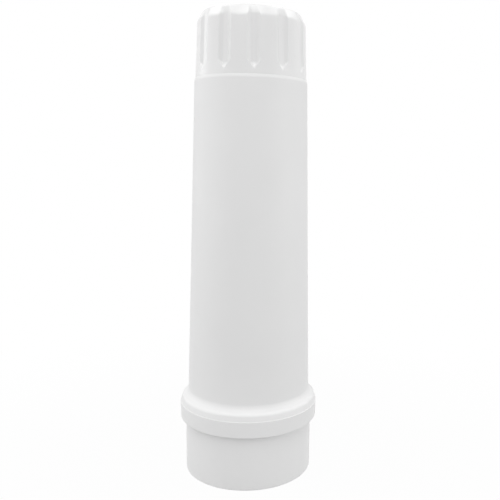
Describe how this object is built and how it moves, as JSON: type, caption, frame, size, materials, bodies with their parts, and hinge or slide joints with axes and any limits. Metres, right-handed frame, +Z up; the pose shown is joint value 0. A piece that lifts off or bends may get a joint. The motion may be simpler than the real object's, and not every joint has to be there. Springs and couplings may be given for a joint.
{
  "type": "coffee machine water filter cartridge",
  "caption": "White tapered water filter cartridge for a coffee machine's tank, with a fluted grip cap, a stepped collar, a plain skirt and a central outlet nozzle.",
  "frame": {"origin": "centre of the lower rim of the skirt, on which the cartridge stands", "axes": "+Z up along the cartridge's axis to the fluted cap; -Y faces the picture's viewer; +X is to the viewer's right"},
  "size_m": [0.04, 0.04, 0.1303],
  "materials": {
    "shell_white": "white moulded plastic with a soft satin gloss",
    "cap_white": "white moulded plastic, slightly glossier than the tube",
    "inner_plastic": "natural white moulded plastic, matt",
    "seal_rubber": "black moulded rubber",
    "fleece": "white needled felt",
    "carbon": "black carbon grains",
    "resin": "amber resin beads"
  },
  "bodies": {
    "root": {"base": "shell_white", "body_tube": "shell_white", "top_cap": "cap_white", "central_tube": "inner_plastic", "upper_strainer": "inner_plastic", "tube_strainer": "inner_plastic", "nozzle_seal": "seal_rubber", "lower_fleece": "fleece", "middle_fleece": "fleece", "upper_fleece": "fleece", "carbon_bed": "carbon", "resin_bed": "resin"}
  },
  "joints": []
}
